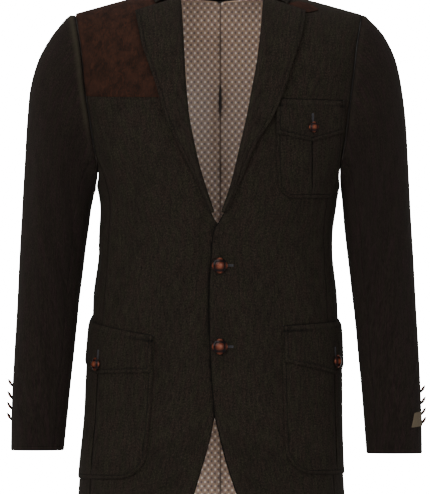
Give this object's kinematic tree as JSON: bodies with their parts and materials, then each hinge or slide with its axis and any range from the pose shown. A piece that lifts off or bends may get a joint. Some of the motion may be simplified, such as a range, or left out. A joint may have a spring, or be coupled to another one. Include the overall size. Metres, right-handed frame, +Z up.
{
  "type": "tweed shooting jacket",
  "caption": "Hollow single-breasted tweed jacket with notch lapels, suede shoulder patch, flapped patch pockets and knotted leather buttons, filled out as if worn.",
  "frame": {"origin": "between the neck points of the shoulder seams, where the wearer's shoulders carry the jacket", "axes": "+Z up, the front faces -Y, +X towards the wearer's left"},
  "size_m": [0.6291, 0.2543, 0.8447],
  "materials": {
    "tweed": "dark brown-green woollen tweed, matt, with a fine flecked twill",
    "suede": "dark brown suede with a short mottled nap",
    "lining": "smooth lining with a small printed lattice of cream and plum spots, slight sheen",
    "leather": "polished reddish brown leather, knotted",
    "label": "small woven label, bare"
  },
  "bodies": {
    "root": {"back_left": "tweed", "back_right": "tweed", "breast_button": "leather", "breast_flap": "tweed", "breast_pocket": "tweed", "collar": "tweed", "cuff_button_left_1": "leather", "cuff_button_left_2": "leather", "cuff_button_left_3": "leather", "cuff_button_left_4": "leather", "cuff_button_right_1": "leather", "cuff_button_right_2": "leather", "cuff_button_right_3": "leather", "cuff_button_right_4": "leather", "cuff_label": "label", "front_button_lower": "leather", "front_button_upper": "leather", "front_left": "tweed", "front_right": "tweed", "gun_patch": "suede", "hip_button_left": "leather", "hip_button_right": "leather", "hip_flap_left": "tweed", "hip_flap_right": "tweed", "hip_pocket_left": "tweed", "hip_pocket_right": "tweed", "lapel_left": "tweed", "lapel_right": "tweed", "lining_left": "lining", "lining_right": "lining", "side_left": "tweed", "side_right": "tweed", "throat_tab": "suede", "top_sleeve_left": "tweed", "top_sleeve_right": "tweed", "under_sleeve_left": "tweed", "under_sleeve_right": "tweed"}
  },
  "joints": []
}
